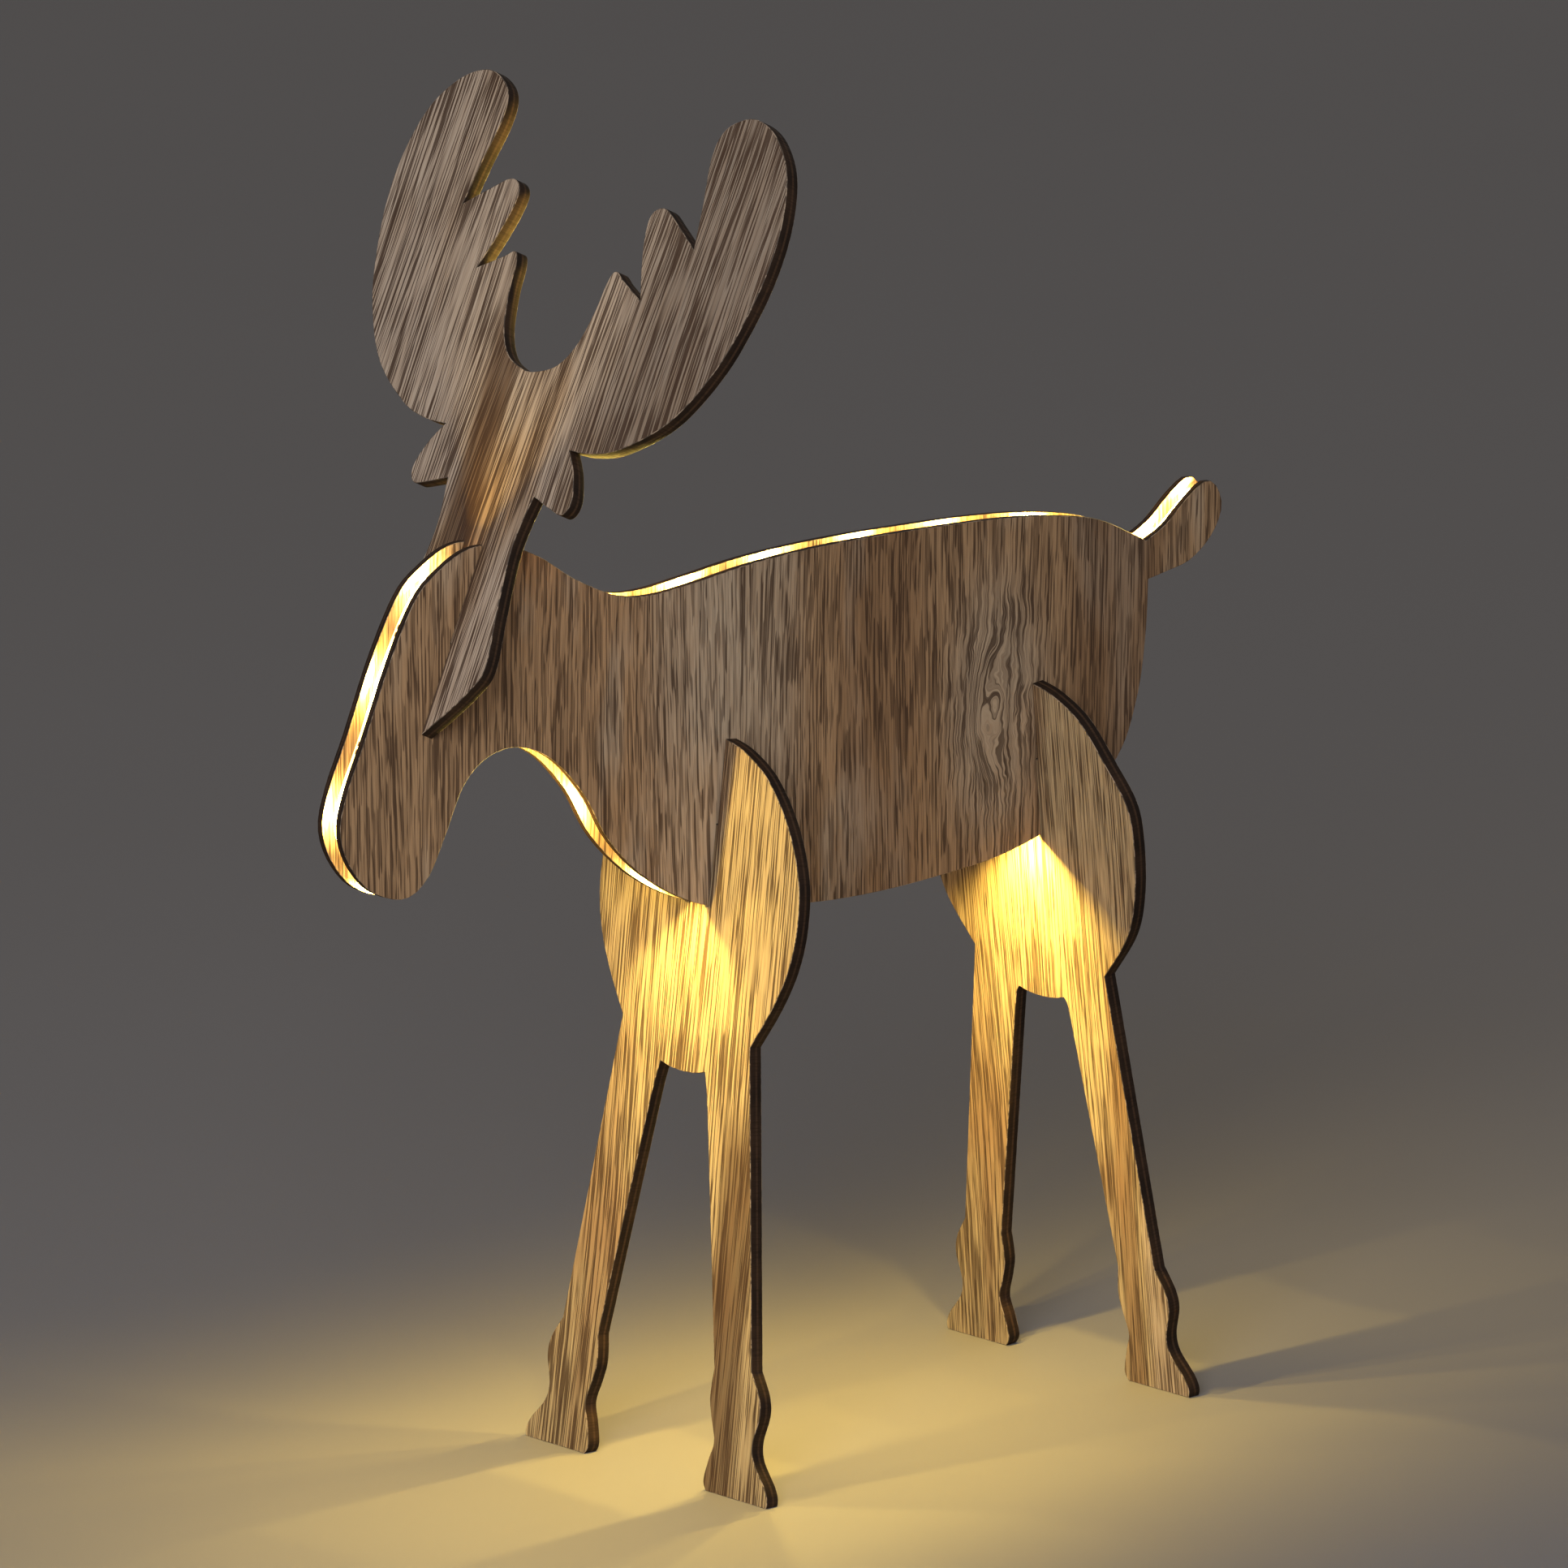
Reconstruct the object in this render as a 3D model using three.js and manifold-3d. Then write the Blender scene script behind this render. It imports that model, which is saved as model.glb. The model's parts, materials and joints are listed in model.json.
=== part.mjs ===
// Light up wooden reindeer: three flat panels slotted crosswise onto a lit body sandwich.
// Units are millimetres, +Z is up, the nose points towards -Y and the animal's left is +X.
// Lengths along the body start at the line where the front hooves stand. The finished model
// is then moved back so that the origin is mid length, on the ground.

import * as THREE from "three";
import { mergeVertices } from "three/addons/utils/BufferGeometryUtils.js";
import Module from "manifold-3d";

const wasm = await Module();
wasm.setup();

// ---- driving dimensions ----

const MID_LENGTH = 81.24; // front hooves to the middle of the overall length
const PLATE = 6.7; // antler and leg panel thickness
const SKIN = 3; // outer body panel thickness
const CORE = 8.4; // gap between the two outer body panels, filled by the core
const GLUE = 0.1; // glue line on each side of the core
const FIT = 0.3; // clearance in slots and around fitted pieces

const HALF_BODY = CORE / 2 + SKIN;
const SLOT_HALF = HALF_BODY + FIT;
const rad = THREE.MathUtils.degToRad;

// Each crosswise panel leans about X: foot line, lean and the height where the halving
// slots of panel and body meet, all measured up the panel's front face.
const ANTLERS = { foot: -292.8, lean: rad(25.14), meet: 422 };
const FRONT_LEGS = {
  foot: 0, lean: rad(7.33), meet: 283, hornTop: 320, crotch: 177,
  thigh: [[60.2, 268], [62.2, 248], [59.2, 229], [51.5, 211], [40.2, 192.5]],
};
const REAR_LEGS = {
  foot: 252.4, lean: rad(-5.6), meet: 281, hornTop: 315.5, crotch: 173,
  thigh: [[62.5, 268], [65, 249], [63.2, 227], [56.8, 208], [40.9, 187.5]],
};

const CHANNEL = 7; // depth of the light channel between the panels' edges
const TAPE = 0.3; // adhesive tape between the core's edge and a strip
const STRIP = { width: 8, thickness: 0.5 };
const LED = { length: 5, width: 5, height: 1.6 };
const WIRE = { width: 2.4, thickness: 1.2, groove: 3.2, depth: 3 };

const CELL = { radius: 7.1, length: 49.2, nub: 1.1, nubRadius: 2.7, pitch: 15.2 };
const BOX = { y: 131, z: 316, wall: 1.6, bayLength: 58, bayHeight: 46.6, electronics: 14 };
const BOX_BACK = CORE / 2 - 0.2;
const BOX_FACE = -14.2; // outer face of the box's fixed end
const BOX_SEAT = -11.8; // rim that the seal and the door rest on
const FACE_INSIDE = -10.2; // inner face of the wall over the electronics
const DOOR = { thickness: 1.7, tab: 7, tabHeight: 8, ribs: 4, ribPitch: 2.6, ribWidth: 1.2, ribHalf: 9 };
const SEAL_INSET = 0.2; // how far the seal stands inside the box's edges
const FLANGE = { reach: 6, thickness: 1.4 };
const SCREW = { headRadius: 2.6, headHeight: 1.5, shankRadius: 1.2, boxLength: 8, doorLength: 3.4 };
const SWITCH = { z: 14, travel: 2, stemHalf: 1.5, slotSpare: 0.9, slotHalfWidth: 2, bodyHalfLength: 5.5 };
const BOARD = { x: -3.3, thickness: 1.2, halfHeight: 20 };
const SPRING = { wire: 0.35, foot: 3.6, taper: 1.4, turns: 3.5 };
const CONTACT = { gap: 0.45, thickness: 0.5, half: 5, play: 0.2 };

// ---- materials ----

function finish(color, roughness, metalness = 0) {
  return new THREE.MeshStandardMaterial({ color, roughness, metalness });
}

const MATERIALS = {
  pale_wood: finish(0xa5917d, 0.6),
  brown_wood: finish(0x6e5541, 0.6),
  core_board: finish(0x8a6a4a, 0.8),
  led: finish(0xfff0b8, 0.3),
  wire: finish(0x1d1b19, 0.5),
  black_plastic: finish(0x1f1f20, 0.55),
  seal: finish(0x3a3a3a, 0.8),
  steel: finish(0xb9bbbd, 0.35, 1),
  board_green: finish(0x1d5a34, 0.5),
  cell_sleeve: finish(0x2d4e63, 0.4),
};

// ---- solids ----

function toSolid(geometry) {
  const bare = geometry.clone();
  bare.deleteAttribute("normal");
  bare.deleteAttribute("uv");
  const merged = mergeVertices(bare, 1e-4);
  return new wasm.Manifold(
    new wasm.Mesh({
      numProp: 3,
      vertProperties: new Float32Array(merged.attributes.position.array),
      triVerts: new Uint32Array(merged.index.array),
    }),
  );
}

function fromSolid(solid) {
  const mesh = solid.getMesh();
  const geometry = new THREE.BufferGeometry();
  geometry.setAttribute("position", new THREE.BufferAttribute(mesh.vertProperties, 3));
  geometry.setIndex(new THREE.BufferAttribute(mesh.triVerts, 1));
  return geometry;
}

function cut(geometry, ...tools) {
  return fromSolid(tools.reduce((solid, tool) => solid.subtract(toSolid(tool)), toSolid(geometry)));
}

function join(geometry, ...more) {
  return fromSolid(more.reduce((solid, piece) => solid.add(toSolid(piece)), toSolid(geometry)));
}

// A box given by its low and high corners.
function block(low, high) {
  const size = high.map((value, i) => value - low[i]);
  const middle = high.map((value, i) => (value + low[i]) / 2);
  return new THREE.BoxGeometry(...size).translate(...middle);
}

// Extrudes a side view drawn in (Y, Z) from x0 to x1.
function sidePlate(shape, x0, x1, curveSegments = 4) {
  const settings = { depth: x1 - x0, bevelEnabled: false, curveSegments };
  const geometry = new THREE.ExtrudeGeometry(shape, settings);
  const turn = new THREE.Matrix4().makeBasis(
    new THREE.Vector3(0, 1, 0),
    new THREE.Vector3(0, 0, 1),
    new THREE.Vector3(1, 0, 0),
  );
  return geometry.applyMatrix4(turn).translate(x0, 0, 0);
}

// Extrudes a front view drawn in (X, Z), with its front face at Y = 0 and its back at Y = depth.
function frontPlate(shape, depth, curveSegments = 4) {
  const geometry = new THREE.ExtrudeGeometry(shape, { depth, bevelEnabled: false, curveSegments });
  return geometry.rotateX(Math.PI / 2).translate(0, depth, 0);
}

// A round piece along X, from a profile of (radius, x) pairs that starts and ends on the axis.
function turned(profile, segments = 20) {
  const points = profile.map(([radius, x]) => new THREE.Vector2(radius, x));
  return new THREE.LatheGeometry(points, segments).rotateZ(-Math.PI / 2);
}

// Closes a half outline, drawn from the middle outwards and back, with its mirror image.
function mirrored(points) {
  const other = points.map((p) => new THREE.Vector2(-p.x, p.y)).reverse();
  return new THREE.Shape([...points, ...other]);
}

// Points of a run of curves: each stretch is a list of knots, and neighbours share a corner.
function stretches(list, divisions = 6) {
  const path = new THREE.Path();
  path.moveTo(...list[0][0]);
  for (const knots of list) {
    const rest = knots.slice(1).map(([a, b]) => new THREE.Vector2(a, b));
    if (rest.length === 1) path.lineTo(rest[0].x, rest[0].y);
    else path.splineThru(rest);
  }
  return path.getPoints(divisions);
}

function leaning(panel) {
  const matrix = new THREE.Matrix4().makeRotationX(-panel.lean);
  return matrix.setPosition(0, panel.foot, 0);
}

// The slot that a leaning panel needs in the body, from height low to high up the panel.
function bodySlot(panel, low, high) {
  return block([-20, -FIT, low], [20, PLATE + FIT, high]).applyMatrix4(leaning(panel));
}

// ---- antler panel ----

function antlerPanel() {
  const bowl = [
    [0, 540], [14, 544.5], [22.5, 555], [27, 571], [28.5, 584], [31.5, 589], [38, 585.5], [51, 579],
  ];
  const middleTine = [
    [51, 579], [45, 594], [41, 608], [41.5, 616], [48, 619], [58, 613.5], [72, 604.5],
  ];
  const beam = [
    [72, 604.5], [69, 623], [65, 643], [67, 655], [76, 661.5], [86, 662.5], [99, 656.5], [111, 643],
    [117.5, 623], [118.5, 602], [115, 580], [107, 556], [91, 532], [68, 516.5], [52, 512], [39, 511.5],
  ];
  const ear = [[39, 511.5], [45.5, 502.5], [49.8, 491], [46.5, 484.5], [38, 486], [27, 489.5]];
  const cheek = [[27, 489.5], [24.2, 467], [28, 438], [31.8, 415], [26, 403], [16, 391], [SLOT_HALF, 382]];
  const slot = [[SLOT_HALF, 382], [SLOT_HALF, ANTLERS.meet]];
  const half = stretches([bowl, middleTine, beam, ear, cheek, slot]);
  return frontPlate(mirrored(half.filter((p) => p.x > 0)), PLATE);
}

// ---- leg panels ----

function legPanel(panel) {
  const { hornTop, thigh, crotch } = panel;
  const knee = thigh.at(-1);
  const slot = [[SLOT_HALF, panel.meet], [SLOT_HALF, hornTop]];
  const thighEdge = [
    [SLOT_HALF, hornTop], [20, hornTop - 3.5], [36, hornTop - 13], [51, hornTop - 31], ...thigh,
  ];
  const shin = [knee, [60, 56]];
  const hoofOutside = [
    [60, 56], [66, 46.5], [67.6, 38], [64.8, 26], [66.6, 18], [74.5, 8.5], [77, 2.5], [75.5, -2],
  ];
  const sole = [[75.5, -2], [41, -2]];
  const hoofInside = [[41, -2], [36.8, 3.5], [38.5, 13], [41, 22], [38, 32], [36, 41], [37, 53]];
  const inside = [[37, 53], [17.5, 163]];
  const top = [[17.5, 163], [16, 170], [14, crotch]];
  const arch = [[14, crotch], [7.5, crotch - 1.5], [0, crotch - 2]];
  const half = stretches([slot, thighEdge, shin, hoofOutside, sole, hoofInside, inside, top, arch]);
  const blank = frontPlate(mirrored(half.filter((p) => p.x > 0)), PLATE);
  const ground = block([-200, -200, -50], [200, 500, 0]).applyMatrix4(leaning(panel).invert());
  return cut(blank, ground);
}

// ---- body outline, in (Y, Z) ----

const TAIL_UNDER = [292.5, 350];
const TAIL_OVER = [291, 367.5];

const TAIL = [
  TAIL_UNDER, [304, 352], [318, 355], [331, 364], [337.5, 376], [334, 386], [327, 389], [316, 383],
  [303, 373], TAIL_OVER,
];
const BACK = [
  TAIL_OVER, [281, 372.5], [262, 381], [238, 386], [205, 389.8], [158, 392], [104, 393], [60, 391.5],
  [26, 388], [0, 386], [-20, 388.5], [-44, 399], [-64, 411.5], [-84, 419.5], [-104, 420.5], [-121, 413],
];
const FACE = [[-121, 413], [-133, 403], [-147, 379], [-161, 348], [-171, 327], [-175, 311], [-170, 296]];
const CHIN = [[-170, 296], [-158, 283], [-140, 277], [-127, 284], [-117, 301], [-107, 320], [-94, 330]];
const CHEST = [[-94, 330], [-77, 332], [-58, 324], [-40, 306], [-26, 284], [-6, 265], [20, 250], [45, 243]];
const BELLY = [
  [45, 243], [80, 238.5], [121, 236], [165, 237], [208, 241], [245, 252], [274, 273], [286, 298], [291, 325],
  TAIL_UNDER,
];

const OUTLINE = outlineRing();

// The outline is two smooth runs that meet at the tail's two corners, stepped about evenly.
function outlineRing() {
  const tail = new THREE.SplineCurve(TAIL.map(([y, z]) => new THREE.Vector2(y, z)));
  const knots = [...BACK, ...FACE.slice(1), ...CHIN.slice(1), ...CHEST.slice(1), ...BELLY.slice(1)];
  const torso = new THREE.SplineCurve(knots.map(([y, z]) => new THREE.Vector2(y, z)));
  return [...tail.getSpacedPoints(28).slice(0, -1), ...torso.getSpacedPoints(260).slice(0, -1)];
}

// The outline runs anticlockwise, so the left normal of each step points into the body.
function insetPoint(i, depth) {
  const count = OUTLINE.length;
  const before = OUTLINE[(i + count - 1) % count];
  const here = OUTLINE[i % count];
  const after = OUTLINE[(i + 1) % count];
  const d1 = here.clone().sub(before).normalize();
  const d2 = after.clone().sub(here).normalize();
  const along = d1.add(d2).normalize();
  return new THREE.Vector2(here.x - along.y * depth, here.y + along.x * depth);
}

function nearest([y, z]) {
  const target = new THREE.Vector2(y, z);
  const gaps = OUTLINE.map((p) => p.distanceTo(target));
  return gaps.indexOf(Math.min(...gaps));
}

// Inset points from one place on the outline to another, going anticlockwise.
function run(start, end, depth) {
  const count = OUTLINE.length;
  const first = nearest(start);
  const steps = (nearest(end) - first + count) % count;
  return Array.from({ length: steps + 1 }, (_, i) => insetPoint(first + i, depth));
}

// ---- body panels ----

const HEAD_SLOT = bodySlot(ANTLERS, ANTLERS.meet - FIT, ANTLERS.meet + 70);
const FRONT_SLOT = bodySlot(FRONT_LEGS, FRONT_LEGS.meet - 70, FRONT_LEGS.meet + FIT);
const REAR_SLOT = bodySlot(REAR_LEGS, REAR_LEGS.meet - 70, REAR_LEGS.meet + FIT);

const BOX_HALF_LENGTH = (BOX.bayLength + BOX.electronics + 3 * BOX.wall) / 2;
const BOX_HALF_HEIGHT = BOX.bayHeight / 2 + BOX.wall;
const SCREW_PLACES = [-1, 1].flatMap((side) =>
  [-1, 1].map((end) => [
    end * (BOX_HALF_LENGTH + FLANGE.reach / 2),
    side * (BOX_HALF_HEIGHT + FLANGE.reach / 2),
  ]),
);

function boxWindow() {
  const y = BOX_HALF_LENGTH + FIT;
  const z = BOX_HALF_HEIGHT + FIT;
  return block([-20, BOX.y - y, BOX.z - z], [20, BOX.y + y, BOX.z + z]);
}

function screwHoles(radius) {
  return SCREW_PLACES.map(([y, z]) => roundHole(radius, -12, 0, BOX.y + y, BOX.z + z, 12));
}

function leftPanel() {
  return cut(sidePlate(new THREE.Shape(OUTLINE), 0, SKIN), HEAD_SLOT, FRONT_SLOT, REAR_SLOT);
}

function rightPanel() {
  const blank = sidePlate(new THREE.Shape(OUTLINE), -SKIN, 0);
  const holes = screwHoles(SCREW.shankRadius + 0.3);
  return cut(blank, HEAD_SLOT, FRONT_SLOT, REAR_SLOT, boxWindow(), ...holes);
}

function corePanel() {
  const inset = OUTLINE.map((_, i) => insetPoint(i, CHANNEL));
  const blank = sidePlate(new THREE.Shape(inset), -CORE / 2 + GLUE, CORE / 2 - GLUE);
  const grooves = Object.values(WIRES).map((route) =>
    ribbon(route, WIRE.groove, -CORE / 2 - 1, -CORE / 2 + WIRE.depth, WIRE.groove),
  );
  const holes = screwHoles(SCREW.shankRadius + 0.1);
  return cut(blank, HEAD_SLOT, FRONT_SLOT, REAR_SLOT, boxWindow(), ...grooves, ...holes);
}

// ---- light strips and wires ----

const STRIPS = {
  head_led_strip: {
    from: [-104, 420.5],
    to: [-100, 326],
    leds: [[-124, 411], [-151, 370], [-172, 319], [-149, 279.5], [-114, 307]],
  },
  chest_led_strip: { from: [-86, 331.5], to: [24, 249], leds: [[-74, 331], [-34, 298], [6, 258]] },
  belly_led_strip: {
    from: [47, 242.6],
    to: [220, 244.5],
    leds: [[60, 241], [111, 236], [162, 237], [213, 242]],
  },
  rump_led_strip: { from: [247, 253], to: [291.5, 340], leds: [[283, 290], [291, 335]] },
  tail_led_strip: { from: [329, 388.5], to: [296, 370], leds: [[323, 387], [301, 371.5]] },
  back_led_strip: {
    from: [284, 371.5],
    to: [-78, 417.5],
    leds: [[232, 387], [180, 391], [129, 393], [78, 392], [27, 388], [-24, 389], [-68, 413]],
  },
};

// Routes of the flat twin wires in (Y, Z), laid in grooves in the core.
const WIRES = {
  back_feed_wire: [[160.8, 337.4], [160.8, 384.4]],
  belly_feed_wire: [[160.8, 294.6], [160.8, 244.4]],
  chest_jumper_wire: [[20.6, 258.2], [22, 274], [30, 289], [53, 289], [54, 270], [52.3, 249.6]],
  rump_jumper_wire: [[216.7, 251.4], [213, 270], [216, 288], [241, 288], [250, 273], [253, 265.2]],
  head_jumper_wire: [[-70.9, 406.8], [-84, 392], [-96, 373], [-116, 368], [-130, 375], [-137.2, 381]],
  tail_jumper_wire: [[307.2, 364.2], [293, 358.5], [278.2, 364.2]],
};

function ledStrip({ from, to, leds }) {
  const top = CHANNEL - TAPE - STRIP.thickness;
  const underside = run(from, to, CHANNEL - TAPE).reverse();
  const ribbonShape = new THREE.Shape([...run(from, to, top), ...underside]);
  const half = STRIP.width / 2;
  const tape = sidePlate(ribbonShape, -half, half);
  return join(tape, ...leds.map((place) => ledPackage(place, top)));
}

// One light package, square to the strip and sunk a little into it.
function ledPackage(place, top) {
  const i = nearest(place);
  const base = insetPoint(i, top + 0.25);
  const tip = insetPoint(i, top - LED.height);
  const out = new THREE.Vector3(0, tip.x - base.x, tip.y - base.y);
  const height = out.length();
  out.normalize();
  const across = new THREE.Vector3(1, 0, 0);
  const along = out.clone().cross(across);
  const turn = new THREE.Matrix4().makeBasis(across, along, out);
  turn.setPosition(0, (base.x + tip.x) / 2, (base.y + tip.y) / 2);
  return new THREE.BoxGeometry(LED.width, LED.length, height).applyMatrix4(turn);
}

// A flat ribbon of the given width that follows a route, extruded from x0 to x1.
function ribbon(route, width, x0, x1, overrun = 0) {
  const points = route.map(([y, z]) => new THREE.Vector2(y, z));
  const last = points.length - 1;
  const headings = points.slice(1).map((p, i) => p.clone().sub(points[i]).normalize());
  points[0].addScaledVector(headings[0], -overrun);
  points[last].addScaledVector(headings[last - 1], overrun);
  const sides = points.map((p, i) => {
    const before = headings[Math.max(i - 1, 0)];
    const after = headings[Math.min(i, last - 1)];
    const mean = before.clone().add(after).normalize();
    const reach = width / 2 / mean.dot(after);
    const normal = new THREE.Vector2(-mean.y, mean.x).multiplyScalar(reach);
    return [p.clone().add(normal), p.clone().sub(normal)];
  });
  const outline = [...sides.map(([left]) => left), ...sides.map(([, right]) => right).reverse()];
  return sidePlate(new THREE.Shape(outline), x0, x1);
}

function flatWire(route) {
  const x = -CORE / 2 + WIRE.thickness;
  return ribbon(route, WIRE.width, x, x + WIRE.thickness);
}

// ---- battery box, in its own group centred on the box ----

const DIVIDER = BOX_HALF_LENGTH - BOX.wall - BOX.electronics; // start of the electronics bay
const BAY_START = -BOX_HALF_LENGTH + BOX.wall;
const BAY_END = DIVIDER - BOX.wall;
const BAY_HALF_HEIGHT = BOX.bayHeight / 2;
const ELECTRONICS_MIDDLE = DIVIDER + BOX.electronics / 2;
const DOOR_INSIDE = BOX_FACE + DOOR.thickness;
const DOOR_SCREW_Y = DIVIDER + DOOR.tab / 2 - 0.3;

function roundHole(radius, x0, x1, y, z, segments = 14) {
  return new THREE.CylinderGeometry(radius, radius, x1 - x0, segments)
    .rotateZ(Math.PI / 2)
    .translate((x0 + x1) / 2, y, z);
}

function batteryBox() {
  const skinFace = -HALF_BODY - GLUE;
  const y = BOX_HALF_LENGTH;
  const z = BOX_HALF_HEIGHT;
  const reach = FLANGE.reach;
  const shell = block([BOX_FACE, -y, -z], [BOX_BACK, y, z]);
  const flange = block(
    [skinFace - FLANGE.thickness, -y - reach, -z - reach],
    [skinFace, y + reach, z + reach],
  );
  const bay = block(
    [-30, BAY_START, -BAY_HALF_HEIGHT],
    [BOX_BACK - BOX.wall, BAY_END, BAY_HALF_HEIGHT],
  );
  const seat = block([-30, -y - 1, -z - 1], [BOX_SEAT, DIVIDER, z + 1]);
  const electronics = block(
    [FACE_INSIDE, DIVIDER, -BAY_HALF_HEIGHT],
    [30, y - BOX.wall, BAY_HALF_HEIGHT],
  );
  const tabSeat = block(
    [-30, DIVIDER - 1, -DOOR.tabHeight / 2 - FIT],
    [DOOR_INSIDE + FIT, DIVIDER + DOOR.tab + FIT, DOOR.tabHeight / 2 + FIT],
  );
  const pilot = roundHole(SCREW.shankRadius + 0.1, -20, FACE_INSIDE + 1, DOOR_SCREW_Y, 0);
  const slide = SWITCH.travel + SWITCH.stemHalf + SWITCH.slotSpare;
  const switchSlot = block(
    [-30, ELECTRONICS_MIDDLE - SWITCH.slotHalfWidth, SWITCH.z - slide],
    [FACE_INSIDE + 1, ELECTRONICS_MIDDLE + SWITCH.slotHalfWidth, SWITCH.z + slide],
  );
  const notchHalf = WIRE.groove / 2;
  const wireNotch = block(
    [-CORE / 2, ELECTRONICS_MIDDLE - notchHalf, -z - 1],
    [-CORE / 2 + WIRE.depth, ELECTRONICS_MIDDLE + notchHalf, z + 1],
  );
  const flangeHoles = SCREW_PLACES.map(([sy, sz]) =>
    roundHole(SCREW.shankRadius + FIT, -12, -6, sy, sz),
  );
  const tools = [bay, seat, electronics, tabSeat, pilot, switchSlot, wireNotch, ...flangeHoles];
  return cut(join(shell, flange), ...tools);
}

function doorSeal() {
  const x0 = DOOR_INSIDE + 0.05;
  const x1 = BOX_SEAT - 0.05;
  const z = BOX_HALF_HEIGHT - SEAL_INSET;
  const innerZ = BAY_HALF_HEIGHT + SEAL_INSET;
  const outer = block([x0, -BOX_HALF_LENGTH + SEAL_INSET, -z], [x1, DIVIDER - SEAL_INSET, z]);
  const inner = block([-20, BAY_START - SEAL_INSET, -innerZ], [0, BAY_END + SEAL_INSET, innerZ]);
  return cut(outer, inner);
}

function batteryDoor() {
  const z = BOX_HALF_HEIGHT;
  const plate = block([BOX_FACE, -BOX_HALF_LENGTH, -z], [DOOR_INSIDE, DIVIDER - FIT, z]);
  const tab = block(
    [BOX_FACE, DIVIDER - 2, -DOOR.tabHeight / 2],
    [DOOR_INSIDE, DIVIDER + DOOR.tab, DOOR.tabHeight / 2],
  );
  const ribs = Array.from({ length: DOOR.ribs }, (_, i) => {
    const y = -BOX_HALF_LENGTH + 5 + i * DOOR.ribPitch;
    return block([BOX_FACE - 0.6, y, -DOOR.ribHalf], [BOX_FACE + 0.5, y + DOOR.ribWidth, DOOR.ribHalf]);
  });
  const hole = roundHole(SCREW.shankRadius + FIT, -20, 0, DOOR_SCREW_Y, 0);
  return cut(join(plate, tab, ...ribs), hole);
}

// A cross-recess screw along X: the head's underside is at x = 0 and the shank runs to +length.
function screw(length) {
  const { headRadius, headHeight, shankRadius } = SCREW;
  const profile = [
    [0, -headHeight], [headRadius * 0.6, -headHeight], [headRadius, -headHeight * 0.45], [headRadius, 0],
    [shankRadius, 0], [shankRadius, length - 1], [0, length],
  ];
  const crosses = [0, Math.PI / 2].map((angle) =>
    new THREE.BoxGeometry(1.6, 2.6, 0.6).rotateX(angle).translate(-headHeight, 0, 0),
  );
  return cut(turned(profile, 16), ...crosses);
}

// A cell along Y with its button at the +Y end.
function batteryCell() {
  const { radius, length, nub, nubRadius } = CELL;
  const profile = [
    [0, 0], [radius - 0.4, 0], [radius, 0.4], [radius, length - 0.4], [radius - 0.4, length],
    [nubRadius, length], [nubRadius, length + nub], [0, length + nub],
  ];
  const points = profile.map(([r, y]) => new THREE.Vector2(r, y));
  return new THREE.LatheGeometry(points, 24);
}

class Helix extends THREE.Curve {
  constructor(radius, taper, turns, height) {
    super();
    Object.assign(this, { radius, taper, turns, height });
  }
  getPoint(t, target = new THREE.Vector3()) {
    const angle = 2 * Math.PI * this.turns * t;
    const r = this.radius - this.taper * t;
    return target.set(r * Math.cos(angle), this.height * t, r * Math.sin(angle));
  }
}

// A tapered contact spring along Y, widest at its foot.
function contactSpring(length) {
  const { wire, foot, taper, turns } = SPRING;
  const section = new THREE.Shape();
  section.absarc(0, 0, wire, 0, 2 * Math.PI);
  const coil = new Helix(foot, taper, turns, length - 2.4 * wire);
  const settings = { steps: 42, extrudePath: coil, curveSegments: 3 };
  return new THREE.ExtrudeGeometry(section, settings).translate(0, 1.2 * wire, 0);
}

function contactPlate(cells) {
  const half = ((cells - 1) * CELL.pitch) / 2 + CONTACT.half;
  const face = CONTACT.thickness / 2;
  return block([-CONTACT.half, -face, -half], [CONTACT.half, face, half]);
}

function controlBoard() {
  const { x, thickness, halfHeight } = BOARD;
  const y = DIVIDER + 4;
  const sunk = x + 0.2;
  const board = block(
    [x, DIVIDER + 1, -halfHeight],
    [x + thickness, BOX_HALF_LENGTH - BOX.wall - 1, halfHeight],
  );
  const chip = block([x - 1.4, y, -11], [sunk, y + 6, -5]);
  const crystal = block([x - 2, y, -16], [sunk, y + 6, -14]);
  const resistors = [-2, 2].map((z) => block([x - 0.8, y, z - 0.7], [sunk, y + 3.2, z + 0.7]));
  return join(board, chip, crystal, ...resistors);
}

function switchBody() {
  const z = SWITCH.z;
  const middle = ELECTRONICS_MIDDLE;
  const half = SWITCH.bodyHalfLength;
  return block([FACE_INSIDE + 0.5, middle - 3.3, z - half], [BOARD.x - 0.2, middle + 3.3, z + half]);
}

function switchKnob() {
  const z = SWITCH.z;
  const middle = ELECTRONICS_MIDDLE;
  const half = SWITCH.stemHalf;
  const stem = block([BOX_FACE - 1, middle - half, z - half], [FACE_INSIDE + 0.2, middle + half, z + half]);
  const cap = block([BOX_FACE - 1.7, middle - 2.4, z - 2.6], [BOX_FACE - 0.3, middle + 2.4, z + 2.6]);
  const grips = [-1, 0, 1].map((i) => {
    const gripZ = z + i * 1.5;
    return block([BOX_FACE - 2.1, middle - 2, gripZ - 0.3], [BOX_FACE - 1.6, middle + 2, gripZ + 0.3]);
  });
  return join(stem, cap, ...grips);
}

// ---- assembly ----

function named(name, geometry, material, place = [0, 0, 0]) {
  const mesh = new THREE.Mesh(geometry, MATERIALS[material]);
  mesh.name = name;
  mesh.position.set(...place);
  return mesh;
}

function leaningPanel(name, geometry, panel) {
  const mesh = named(name, geometry, "pale_wood", [0, panel.foot, 0]);
  mesh.rotation.x = -panel.lean;
  return mesh;
}

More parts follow.
